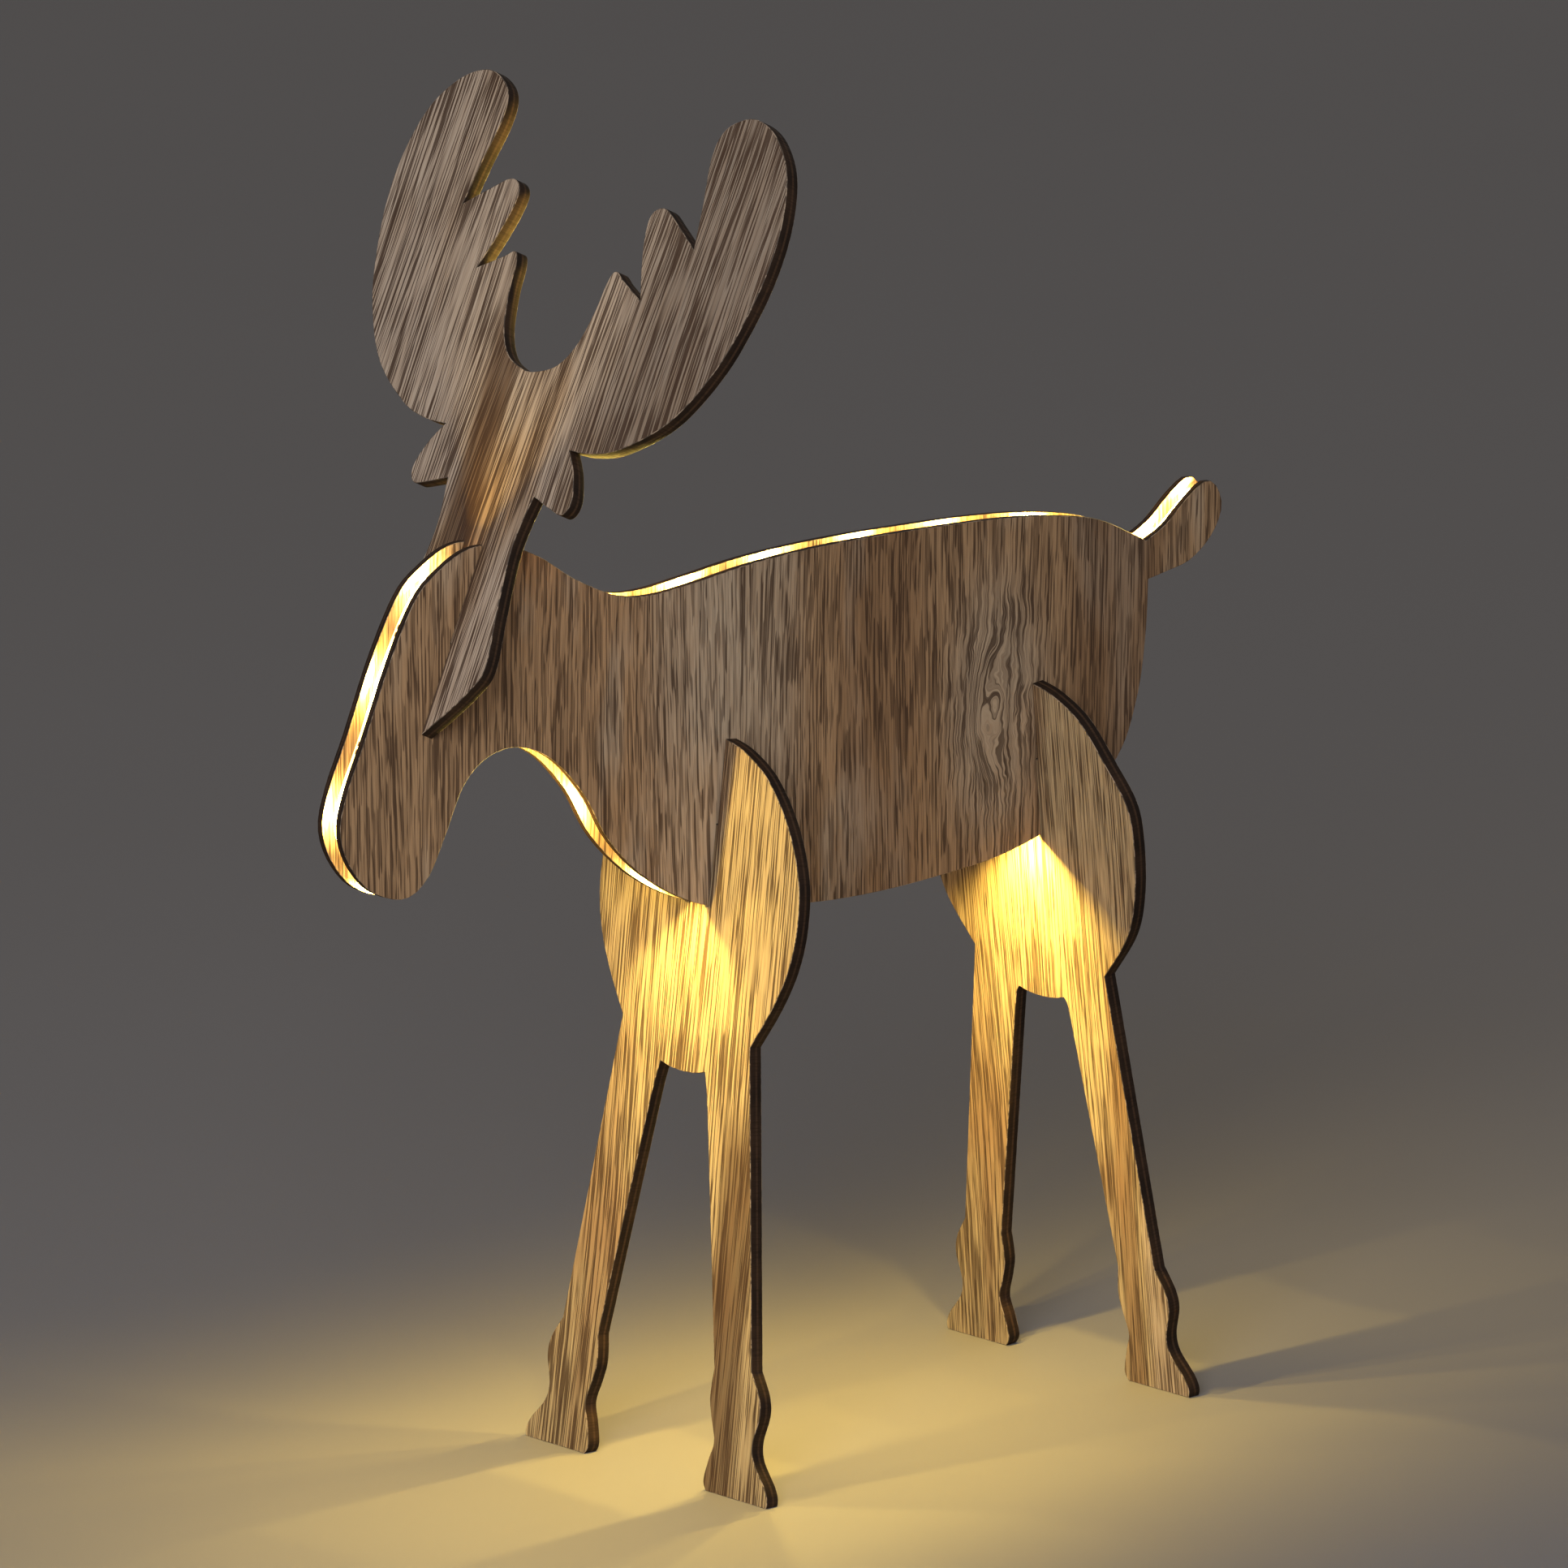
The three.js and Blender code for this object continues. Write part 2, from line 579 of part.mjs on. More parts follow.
// Cells, springs and contacts: the outer two cells point one way and the middle one the other.
function batteryParts() {
  const parts = [];
  const cellX = BOX_BACK - BOX.wall - FIT - CELL.radius;
  const { gap, play } = CONTACT;
  const face = gap + CONTACT.thickness / 2;
  const springLength = BOX.bayLength - 2 * face - CELL.length - CELL.nub - 3 * play;
  for (const i of [0, 1, 2]) {
    const z = (i - 1) * CELL.pitch;
    const flip = i === 1 ? -1 : 1;
    const middle = (BAY_START + BAY_END) / 2;
    const end = (distance) => middle + flip * (distance - BOX.bayLength / 2);
    const turn = flip === 1 ? 0 : Math.PI;
    const nubEnd = BOX.bayLength - face - play;
    const cell = named(`battery_cell_${i + 1}`, batteryCell(), "cell_sleeve");
    cell.position.set(cellX, end(nubEnd - CELL.nub - CELL.length), z);
    cell.rotation.x = turn;
    const spring = named(`contact_spring_${i + 1}`, contactSpring(springLength), "steel");
    spring.position.set(cellX, end(face + play), z);
    spring.rotation.x = turn;
    parts.push(cell, spring);
  }
  const low = BAY_START + gap;
  const high = BAY_END - gap;
  parts.push(
    named("contact_plate_1", contactPlate(1), "steel", [cellX, low, -CELL.pitch]),
    named("contact_plate_2", contactPlate(2), "steel", [cellX, low, CELL.pitch / 2]),
    named("contact_plate_3", contactPlate(2), "steel", [cellX, high, -CELL.pitch / 2]),
    named("contact_plate_4", contactPlate(1), "steel", [cellX, high, CELL.pitch]),
  );
  return parts;
}

function powerPack() {
  const pack = new THREE.Group();
  pack.position.set(0, BOX.y, BOX.z);
  const flangeFace = -HALF_BODY - GLUE - FLANGE.thickness - 0.05;
  pack.add(
    named("battery_box", batteryBox(), "black_plastic"),
    named("door_seal", doorSeal(), "seal"),
    named("battery_door", batteryDoor(), "black_plastic"),
    named("door_screw", screw(SCREW.doorLength), "steel", [BOX_FACE - 0.05, DOOR_SCREW_Y, 0]),
    named("control_board", controlBoard(), "board_green"),
    named("switch_body", switchBody(), "steel"),
    named("switch_knob", switchKnob(), "black_plastic"),
    ...batteryParts(),
  );
  SCREW_PLACES.forEach(([y, z], i) => {
    pack.add(named(`box_screw_${i + 1}`, screw(SCREW.boxLength), "steel", [flangeFace, y, z]));
  });
  return pack;
}

const reindeer = new THREE.Group();
const model = new THREE.Group();
model.position.y = -MID_LENGTH;
reindeer.add(model);

model.add(
  named("left_body_panel", leftPanel(), "brown_wood", [CORE / 2, 0, 0]),
  named("right_body_panel", rightPanel(), "brown_wood", [-CORE / 2, 0, 0]),
  named("body_core", corePanel(), "core_board"),
  leaningPanel("antler_panel", antlerPanel(), ANTLERS),
  leaningPanel("front_leg_panel", legPanel(FRONT_LEGS), FRONT_LEGS),
  leaningPanel("rear_leg_panel", legPanel(REAR_LEGS), REAR_LEGS),
  powerPack(),
);
for (const [name, strip] of Object.entries(STRIPS)) model.add(named(name, ledStrip(strip), "led"));
for (const [name, route] of Object.entries(WIRES)) model.add(named(name, flatWire(route), "wire"));

export default reindeer;
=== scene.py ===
import json
import math

import bmesh
import bpy
from mathutils import Matrix, Vector
from mathutils.bvhtree import BVHTree

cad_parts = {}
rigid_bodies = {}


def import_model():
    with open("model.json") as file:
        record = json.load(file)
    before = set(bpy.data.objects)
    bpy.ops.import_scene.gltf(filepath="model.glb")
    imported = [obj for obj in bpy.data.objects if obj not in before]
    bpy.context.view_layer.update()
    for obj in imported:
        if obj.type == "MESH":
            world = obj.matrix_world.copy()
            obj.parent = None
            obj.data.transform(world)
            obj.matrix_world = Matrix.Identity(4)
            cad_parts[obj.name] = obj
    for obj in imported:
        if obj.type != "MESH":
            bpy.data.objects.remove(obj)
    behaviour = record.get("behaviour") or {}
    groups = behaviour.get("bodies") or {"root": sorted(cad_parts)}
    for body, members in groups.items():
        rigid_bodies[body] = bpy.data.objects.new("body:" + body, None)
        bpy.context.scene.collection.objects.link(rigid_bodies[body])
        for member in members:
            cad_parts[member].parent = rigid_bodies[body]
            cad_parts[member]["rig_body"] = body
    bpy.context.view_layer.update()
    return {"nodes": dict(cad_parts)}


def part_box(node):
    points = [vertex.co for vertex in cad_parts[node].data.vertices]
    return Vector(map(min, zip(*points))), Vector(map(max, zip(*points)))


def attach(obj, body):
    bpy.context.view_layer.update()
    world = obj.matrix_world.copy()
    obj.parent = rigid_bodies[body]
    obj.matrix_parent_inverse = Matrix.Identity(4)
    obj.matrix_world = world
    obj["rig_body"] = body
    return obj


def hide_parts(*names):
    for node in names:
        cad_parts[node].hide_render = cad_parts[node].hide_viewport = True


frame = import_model()

MM = 0.001
MAIN_BODY = "body"

# Corners closer than WELD are one corner. Faces within FLAT of each other are one face, and
# an edge that turns by more than CREASE is sharp.
WELD = 0.002 * MM
FLAT = math.radians(0.3)
CREASE = math.radians(32)

# Widths of the rounded corners of the three cut panels, the body's outer boards and small parts.
PANEL_ARRIS = 0.28 * MM
SKIN_ARRIS = 0.2 * MM
SMALL_ARRIS = 0.3 * MM

# Camera: a long lens from the animal's front left, a little above it.
CAMERA_PLACE = Vector((3.7211, -3.4484, 1.4680))
CAMERA_AIM = Vector((0.0, 0.0004, 0.2900))
CAMERA_LENS = 279.5

# Where the soft key and fill lights stand, as directions from the model, and what they aim at.
KEY_FROM = Vector((0.50, -0.74, 0.42))
FILL_FROM = Vector((1.0, -0.35, 0.30))
STUDIO_AIM = Vector((0.0, 0.0, 0.35))
KEY_WATTS = 18.0
FILL_WATTS = 2.5
FLOOR_RADIUS = 40.0

# The strips' light packages, which are square and warm white, and the parts between them.
WARM_WHITE = (1.0, 0.71, 0.14)
LED_WATTS = 0.34
LED_SIDE = 5 * MM
LED_SLACK = 0.04
# LED_GLOW_REACH is how far the glow painted on the tape spreads from each lamp.
LED_GLOW_REACH = 22 * MM
LED_LIGHT_SIZE = 4 * MM
LED_LIGHT_STANDOFF = 0.45 * MM
DOME_HALF = 2.1 * MM
DOME_RISE = 0.3 * MM
DOME_SIDES = 24
RESISTOR = (1.2 * MM, 2.0 * MM, 0.5 * MM)
RESISTOR_SHARE = 0.22
SOLDER_PAD = (1.8 * MM, 2.2 * MM, 0.12 * MM)
PADS_SHARE = 0.5
PAD_ACROSS = 2.2 * MM
PAD_ALONG = 1.7 * MM


# ---- shader building ----

class Shader:
    """A node material being put together. Each method adds nodes and gives back an output."""

    def __init__(self, name):
        self.material = bpy.data.materials.new(name)
        self.material.use_nodes = True
        self.tree = self.material.node_tree
        self.surface = self.tree.nodes["Principled BSDF"]

    def node(self, kind, inputs, **settings):
        made = self.tree.nodes.new(kind)
        for key, value in settings.items():
            setattr(made, key, value)
        for socket, value in inputs.items():
            self.feed(made.inputs[socket], value)
        return made

    def feed(self, socket, value):
        if isinstance(value, bpy.types.NodeSocket):
            self.tree.links.new(value, socket)
        else:
            socket.default_value = value

    def set(self, **values):
        for key, value in values.items():
            self.feed(self.surface.inputs[key.replace("_", " ")], value)

    def place(self, turn=(0, 0, 0), shift=(0, 0, 0)):
        """Object coordinates, turned and then shifted."""
        source = self.node("ShaderNodeTexCoord", {}).outputs["Object"]
        inputs = {"Vector": source, "Rotation": turn, "Location": shift}
        return self.node("ShaderNodeMapping", inputs).outputs["Vector"]

    def stretch(self, vector, factors):
        inputs = {0: vector, 1: factors}
        return self.node("ShaderNodeVectorMath", inputs, operation="MULTIPLY").outputs[0]

    def split(self, vector):
        return self.node("ShaderNodeSeparateXYZ", {0: vector}).outputs

    def join(self, x, y, z):
        return self.node("ShaderNodeCombineXYZ", {0: x, 1: y, 2: z}).outputs[0]

    def calc(self, operation, a, b=0.0, clamp=False):
        inputs = {0: a, 1: b}
        return self.node("ShaderNodeMath", inputs, operation=operation, use_clamp=clamp).outputs[0]

    def noise(self, vector, scale, detail=2.0, roughness=0.5):
        inputs = {"Vector": vector, "Scale": scale, "Detail": detail, "Roughness": roughness}
        return self.node("ShaderNodeTexNoise", inputs).outputs["Fac"]

    def step(self, value, start, end, low=0.0, high=1.0):
        """Runs smoothly from low to high as value goes from start to end."""
        inputs = {"Value": value, "From Min": start, "From Max": end, "To Min": low, "To Max": high}
        return self.node("ShaderNodeMapRange", inputs, interpolation_type="SMOOTHSTEP").outputs[0]

    def mix(self, share, a, b):
        """Runs from colour a to colour b. The node's colours are its inputs 6 and 7."""
        inputs = {0: share, 6: a, 7: b}
        return self.node("ShaderNodeMix", inputs, data_type="RGBA").outputs[2]

    def ramp(self, value, stops):
        made = self.node("ShaderNodeValToRGB", {0: value})
        elements = made.color_ramp.elements
        while len(elements) < len(stops):
            elements.new(0.5)
        for element, (place, colour) in zip(elements, stops):
            element.position = place
            element.color = colour
        return made.outputs["Color"]

    def bump(self, height, depth, strength=1.0):
        inputs = {"Height": height, "Distance": depth, "Strength": strength}
        self.feed(self.surface.inputs["Normal"], self.node("ShaderNodeBump", inputs).outputs[0])


def rgb(red, green, blue):
    return (red, green, blue, 1.0)


# ---- wood ----

PALE = rgb(0.52, 0.41, 0.32)
LEG_PALE = rgb(0.52, 0.40, 0.24)
TAN = rgb(0.38, 0.245, 0.14)
GREYED = rgb(0.57, 0.445, 0.32)
WARM = rgb(0.49, 0.305, 0.165)
BROWN = rgb(0.25, 0.128, 0.058)
UMBER = rgb(0.26, 0.205, 0.16)
DARK_BAND = rgb(0.10, 0.058, 0.034)
STREAK = rgb(0.052, 0.024, 0.012)
SCORCH = rgb(0.016, 0.009, 0.006)

# A band of another tone fades away from BAND_FADE below its top to BAND_FADE above it. WHOLE
# is a top above the model, for a band as long as its board.
BAND_FADE = 15 * MM
WHOLE = 1.0
BODY_LONG_SHARE = 0.35


def knot_warp(s, x, z, knot):
    """Bends the grain round a small knot: gives the place across the grain and the nearness."""
    kx, kz, radius = knot
    dx = s.calc("SUBTRACT", x, kx)
    dz = s.calc("MULTIPLY", s.calc("SUBTRACT", z, kz), 0.5)
    away = s.calc("SQRT", s.calc("ADD", s.calc("MULTIPLY", dx, dx), s.calc("MULTIPLY", dz, dz)))
    core = s.step(away, radius * 0.55, radius * 0.10)
    bent = s.calc("ADD", x, s.calc("MULTIPLY", core, s.calc("SUBTRACT", away, dx)))
    return bent, s.step(away, radius * 1.25, radius * 0.4)


def oak_veneer(name, turn, shift, tones, long_share, bands=(), knot=None):
    """Oak veneer whose grain runs along Z once turned, with X across it.

    tones are the ground colours from the palest patches to the darkest. long_share is how
    much of the dark grain is long open lines, against short dashes. bands are (place across,
    slope, half width, top, colour, share). knot is (across, along, radius)."""
    s = Shader(name)
    x, y, z = s.split(s.place(turn, shift))
    across = x
    near = 0.0
    if knot:
        across, near = knot_warp(s, x, z, knot)
    sway = s.calc("SUBTRACT", s.noise(s.join(x, y, s.calc("MULTIPLY", z, 0.22)), 15.0, 1.0), 0.5)
    across = s.calc("ADD", across, s.calc("MULTIPLY", sway, 0.020))
    if knot:
        curl = s.calc("SUBTRACT", s.noise(s.join(x, y, z), 75.0, 2.0), 0.5)
        curl = s.calc("MULTIPLY", curl, s.calc("MULTIPLY", near, 0.008))
        across = s.calc("ADD", across, curl)
    grain = s.join(across, s.calc("MULTIPLY", y, 0.2), z)

    patch = s.noise(s.stretch(grain, (1.0, 1.0, 0.28)), 17.0, 3.0, 0.6)
    wide = s.noise(s.stretch(grain, (1.0, 1.0, 0.012)), 500.0, 2.0, 0.5)
    fine = s.noise(s.stretch(grain, (1.0, 1.0, 0.020)), 1050.0, 1.0)
    short = s.noise(s.stretch(grain, (1.0, 1.0, 0.045)), 950.0, 1.0)
    fibre = s.noise(s.stretch(grain, (1.0, 1.0, 0.03)), 2100.0, 1.0)
    broken = s.noise(s.stretch(grain, (1.0, 1.0, 0.12)), 170.0, 1.0)

    lean_in = s.calc("MULTIPLY", s.calc("SUBTRACT", patch, 0.5), 0.09)
    ridge = s.calc("ABSOLUTE", s.calc("SUBTRACT", wide, 0.5))
    lines = s.step(s.calc("ADD", ridge, lean_in), 0.050, 0.022)
    thin = s.step(s.calc("ADD", fine, lean_in), 0.475, 0.415)
    dashes = s.step(s.calc("ADD", short, lean_in), 0.500, 0.445)
    open_grain = s.calc("MAXIMUM", s.calc("MULTIPLY", lines, 0.95), s.calc("MULTIPLY", thin, 0.9))
    open_grain = s.calc("MULTIPLY", open_grain, s.step(broken, 0.28, 0.46, 0.15, 1.0))
    dark = s.calc(
        "ADD",
        s.calc("MULTIPLY", open_grain, long_share),
        s.calc("MULTIPLY", dashes, 0.85 * (1.0 - long_share)),
        True,
    )
    dark = s.calc("MAXIMUM", dark, s.calc("MULTIPLY", dashes, s.calc("MULTIPLY", near, 0.75)))

    stops = [(0.38, tones[2]), (0.50, tones[1]), (0.60, tones[0])]
    ground = s.ramp(patch, stops)
    if knot:
        ground = s.mix(s.calc("MULTIPLY", near, 0.75), ground, GREYED)
    for place, slope, half, top, colour, share in bands:
        middle = s.calc("ADD", s.calc("MULTIPLY", z, slope), place)
        gap = s.calc("ABSOLUTE", s.calc("SUBTRACT", across, middle))
        inside = s.step(gap, half * 1.25, half * 0.6, 0.0, share)
        below = s.step(z, top + BAND_FADE, top - BAND_FADE)
        ground = s.mix(s.calc("MULTIPLY", inside, below), ground, colour)
    shade = s.step(fibre, 0.35, 0.65, 0.0, 0.30)
    ground = s.mix(shade, ground, BROWN)
    s.set(Base_Color=s.mix(dark, ground, STREAK))
    s.set(Roughness=s.step(dark, 0.0, 1.0, 0.48, 0.75))
    s.set(Specular_IOR_Level=0.3)
    height = s.calc("SUBTRACT", s.calc("MULTIPLY", fibre, 0.25), dark)
    s.bump(height, 0.10 * MM, 0.5)
    return s.material


def cut_edge(name, turn, shift, thickness):
    """Laser-cut edge of a laminated board: scorched, with a paler glue line inside it."""
    s = Shader(name)
    place = s.place(turn, shift)
    depth = s.split(place)[1]
    stripes = s.noise(s.stretch(place, (1.0, 0.05, 1.0)), 1300.0, 2.0)
    blotch = s.noise(place, 60.0, 3.0)
    centre = s.calc("ABSOLUTE", s.calc("SUBTRACT", depth, thickness * 0.56))
    line = s.step(centre, thickness * 0.13, thickness * 0.03, 0.0, 0.8)
    board = s.mix(s.step(blotch, 0.35, 0.7), SCORCH, rgb(0.040, 0.021, 0.012))
    board = s.mix(line, board, rgb(0.075, 0.040, 0.022))
    s.set(Base_Color=s.mix(s.step(stripes, 0.45, 0.7, 0.0, 0.5), board, rgb(0.02, 0.012, 0.008)))
    s.set(Roughness=s.step(stripes, 0.3, 0.7, 0.6, 0.8), Specular_IOR_Level=0.15)
    s.bump(stripes, 0.08 * MM, 0.6)
    return s.material


def arris_painted_highlight(name):
    """The rounded corner between face and edge: scorched, with pale flecks on it that are a painted
    highlight.
    """
    s = Shader(name)
    place = s.place()
    mottle = s.noise(place, 240.0, 3.0, 0.6)
    # Painted highlight: pale flecks mixed over the scorched colour of the rounded corner.
    s.set(Base_Color=s.mix(s.step(mottle, 0.46, 0.60, 0.15, 0.85), SCORCH, rgb(0.42, 0.31, 0.22)))
    s.set(Roughness=s.step(mottle, 0.4, 0.6, 0.6, 0.45))
    s.bump(mottle, 0.05 * MM, 0.5)
    return s.material


def core_board(name):
    """Raw fibreboard between the two faces of the body."""
    s = Shader(name)
    place = s.place()
    fibres = s.noise(place, 900.0, 3.0, 0.7)
    clumps = s.noise(place, 130.0, 2.0)
    s.set(Base_Color=s.mix(fibres, rgb(0.16, 0.10, 0.06), rgb(0.36, 0.25, 0.16)))
    s.set(Roughness=s.step(clumps, 0.3, 0.7, 0.75, 0.95))
    s.bump(fibres, 0.15 * MM, 0.7)
    return s.material


# ---- light strips ----

def tape_with_painted_glow(name):
    """White flexible circuit with a glow painted on it, set by the distance to its lights."""
    s = Shader(name)
    gap = s.node("ShaderNodeAttribute", {}, attribute_name="led_gap").outputs["Fac"]
    grime = s.noise(s.place(), 700.0, 2.0)
    s.set(Base_Color=s.mix(grime, rgb(0.86, 0.80, 0.66), rgb(0.95, 0.92, 0.84)))
    s.set(Roughness=s.step(grime, 0.3, 0.7, 0.35, 0.5))
    # Painted glow: emission on the tape itself, strongest and palest next to each lamp, weaker and
    # more orange farther from it.
    reach = s.calc("DIVIDE", gap, LED_GLOW_REACH)
    stops = [(0.0, rgb(1.0, 0.86, 0.42)), (0.4, rgb(1.0, 0.80, 0.26)), (1.0, rgb(1.0, 0.74, 0.17))]
    s.set(Emission_Color=s.ramp(reach, stops))
    s.set(Emission_Strength=s.step(reach, 0.0, 1.0, 40.0, 3.5))
    s.bump(grime, 0.02 * MM, 0.4)
    return s.material


def lamp_face(name):
    """Yellow phosphor of a light package, switched on."""
    s = Shader(name)
    grain = s.noise(s.place(), 2500.0, 1.0)
    s.set(Base_Color=s.mix(grain, rgb(0.90, 0.68, 0.16), rgb(0.95, 0.78, 0.30)))
    s.set(Roughness=0.25)
    s.set(Emission_Color=rgb(1.0, 0.80, 0.45), Emission_Strength=12.0)
    return s.material


def metal(name, colour, roughness, scale=900.0):
    s = Shader(name)
    mottle = s.noise(s.place(), scale, 3.0, 0.6)
    darker = tuple(0.62 * value for value in colour[:3]) + (1.0,)
    s.set(Base_Color=s.mix(s.step(mottle, 0.35, 0.65), darker, colour))
    s.set(Metallic=1.0)
    s.set(Roughness=s.step(mottle, 0.3, 0.7, roughness * 0.8, roughness * 1.3))
    s.bump(mottle, 0.02 * MM, 0.4)
    return s.material


def moulded(name, colour, roughness, grain_size=0.5 * MM, depth=0.03 * MM):
    """Moulded plastic or rubber with a fine spark-eroded grain and slightly uneven gloss."""
    s = Shader(name)
    place = s.place()
    grain = s.noise(place, 1.0 / grain_size, 2.0, 0.6)
    haze = s.noise(place, 35.0, 3.0)
    paler = tuple(min(1.0, 1.5 * value + 0.01) for value in colour[:3]) + (1.0,)
    s.set(Base_Color=s.mix(s.step(haze, 0.4, 0.7, 0.0, 0.5), colour, paler))
    s.set(Roughness=s.step(haze, 0.3, 0.7, roughness * 0.85, roughness * 1.15))
    s.bump(grain, depth, 0.6)
    return s.material


def floor_paint(name):
    s = Shader(name)
    tone = s.noise(s.place(), 2.2, 3.0)
    s.set(Base_Color=s.mix(tone, rgb(0.215, 0.199, 0.199), rgb(0.23, 0.213, 0.213)))
    s.set(Roughness=0.62)
    return s.material


# ---- meshes ----

def welded(node):
    """The node's CAD mesh with its corners joined and its flat areas made whole."""
    bm = bmesh.new()
    bm.from_mesh(frame["nodes"][node].data)
    bmesh.ops.remove_doubles(bm, verts=bm.verts, dist=WELD)
    bmesh.ops.dissolve_limit(bm, angle_limit=FLAT, verts=bm.verts, edges=bm.edges)
    bm.normal_update()
    return bm


def body_of(node):
    return frame["nodes"][node]["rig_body"]


def finished(bm, name, materials, body, stands_for=()):
    """Turns a mesh into a piece that rides on a CAD body."""
    for face in bm.faces:
        face.smooth = True
    for edge in sharp_edges(bm):
        edge.smooth = False
    mesh = bpy.data.meshes.new(name)
    bm.to_mesh(mesh)
    bm.free()
    piece = bpy.data.objects.new(name, mesh)
    bpy.context.scene.collection.objects.link(piece)
    for material in materials:
        mesh.materials.append(material)
    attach(piece, body)
    if stands_for:
        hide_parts(*stands_for)
    return piece


def sharp_edges(bm):
    return [e for e in bm.edges if len(e.link_faces) == 2 and e.calc_face_angle(0.0) > CREASE]


def rounded(bm, width, edges, clamp=True):
    bmesh.ops.bevel(
        bm, geom=edges, offset=width, segments=2, profile=0.5, affect="EDGES", clamp_overlap=clamp
    )
    bm.normal_update()


def front_of(bm):
    """The normal of the largest face, which is one of a board's two faces."""
    return max(bm.faces, key=lambda f: f.calc_area()).normal.copy()


def board(node, normal, arris, face, edge, corner, slot):
    """A flat board: veneer on its faces, a cut edge round it and a rounded corner between."""
    bm = welded(node)
    flat = [f for f in bm.faces if abs(f.normal.dot(normal)) > 0.99]
    caps = set(flat)
    rim = [e for e in bm.edges if len(e.link_faces) == 2 and len(caps & set(e.link_faces)) == 1]
    rounded(bm, arris, rim, clamp=False)
    for f in bm.faces:
        facing = abs(f.normal.dot(normal))
        f.material_index = 0 if facing > 0.98 else (1 if facing < 0.15 else 2)
        if f.material_index == 0:
            for e in f.edges:
                if e.calc_face_angle(0.0) > math.radians(5):
                    e.smooth = False
    return finished(bm, f"{node}_veneered", [face, edge, corner], body_of(node), [node])


def leaning_board(node, tones, long_share, bands):
    bm = welded(node)
    normal = front_of(bm)
    bm.free()
    if normal.y > 0:
        normal = -normal
    lean = math.atan2(normal.z, -normal.y)
    upright = Matrix.Rotation(lean, 3, "X")
    source = frame["nodes"][node].data
    depths = [(upright @ v.co).y for v in source.vertices]
    turn = (lean, 0.0, 0.0)
    shift = (0.0, -min(depths), 0.0)
    thickness = max(depths) - min(depths)
    face = oak_veneer(f"{node}_oak", turn, shift, tones, long_share, bands)
    edge = cut_edge(f"{node}_cut_edge", turn, shift, thickness)
    return board(node, normal, PANEL_ARRIS, face, edge, HIGHLIGHTED_ARRIS, "pale_wood")


def body_board(node, grain_shift):
    """One outer board of the body, its grain upright, with Y of the model across it."""
    low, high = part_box(node)
    turn = (0.0, 0.0, -math.pi / 2)
    shift = (grain_shift, 0.0, 0.0)
    across, along, radius = KNOT
    knot = (across + grain_shift, along, radius)
    bands = []
    for place, half, colour, share in BODY_BANDS:
        bands.append((place + grain_shift, 0.0, half, WHOLE, colour, share))
    face = oak_veneer(f"{node}_oak", turn, shift, BODY_TONES, BODY_LONG_SHARE, bands, knot)
    edge = cut_edge(f"{node}_cut_edge", turn, (0.0, high.x, 0.0), high.x - low.x)
    return board(node, Vector((1, 0, 0)), SKIN_ARRIS, face, edge, HIGHLIGHTED_ARRIS, "brown_wood")


def small_piece(node, material, arris=SMALL_ARRIS):
    bm = welded(node)
    if arris:
        rounded(bm, arris, sharp_edges(bm))
    return finished(bm, f"{node}_finished", [material], body_of(node), [node])


# ---- light strips ----

def is_lamp_face(face):
    """True of a light package's outer face: a square of LED_SIDE that doesn't face sideways."""
    upright = abs(face.normal.x) < 0.01
    four_sides = len(face.verts) == 4
    size_fits = abs(face.calc_area() / LED_SIDE ** 2 - 1) < LED_SLACK
    sides_fit = max(edge.calc_length() for edge in face.edges) < (1 + LED_SLACK) * LED_SIDE
    return upright and four_sides and size_fits and sides_fit


def lamps_of(node):
    """(centre, outward normal) of each light package, in order along its strip."""
    bm = welded(node)
    found = [(f.calc_center_median(), f.normal.copy()) for f in bm.faces if is_lamp_face(f)]
    bm.free()
    spread = Vector([max(c[i] for c, _ in found) - min(c[i] for c, _ in found) for i in range(3)])
    axis = 1 if spread.y > spread.z else 2
    return sorted(found, key=lambda lamp: lamp[0][axis])


def basis(normal):
    """Columns: across the strip, along it, and out of it."""
    out = normal.normalized()
    across = Vector((1, 0, 0))
    return Matrix((across, out.cross(across), out)).transposed()


def dome(bm, centre, axes, half, rise, index):
    """A low square dome with round corners: the lit face of a light package."""
    rings = []
    for share, height in ((1.0, 0.0), (1.0, 0.35), (0.82, 0.8), (0.45, 1.0)):
        ring = []
        for i in range(DOME_SIDES):
            angle = 2 * math.pi * i / DOME_SIDES
            c, s = math.cos(angle), math.sin(angle)
            reach = half * share / (abs(c) ** 5 + abs(s) ** 5) ** 0.2
            ring.append(bm.verts.new(centre + axes @ Vector((reach * c, reach * s, rise * height))))
        rings.append(ring)
    for low, high in zip(rings, rings[1:]):
        for i in range(DOME_SIDES):
            j = (i + 1) % DOME_SIDES
            bm.faces.new((low[i], low[j], high[j], high[i])).material_index = index
    bm.faces.new(rings[-1]).material_index = index
    bm.faces.new(list(reversed(rings[0]))).material_index = index


def chip(bm, centre, axes, size, index):
    """A small soft-edged block: a resistor or a solder pad."""
    made = bmesh.ops.create_cube(bm, size=1.0)["verts"]
    for v in made:
        v.co = centre + axes @ Vector((v.co.x * size[0], v.co.y * size[1], (v.co.z + 0.5) * size[2]))
    edges = {e for v in made for e in v.link_edges}
    for f in {f for v in made for f in v.link_faces}:
        f.material_index = index
    bmesh.ops.bevel(bm, geom=list(edges), offset=0.12 * min(size), segments=1, affect="EDGES")


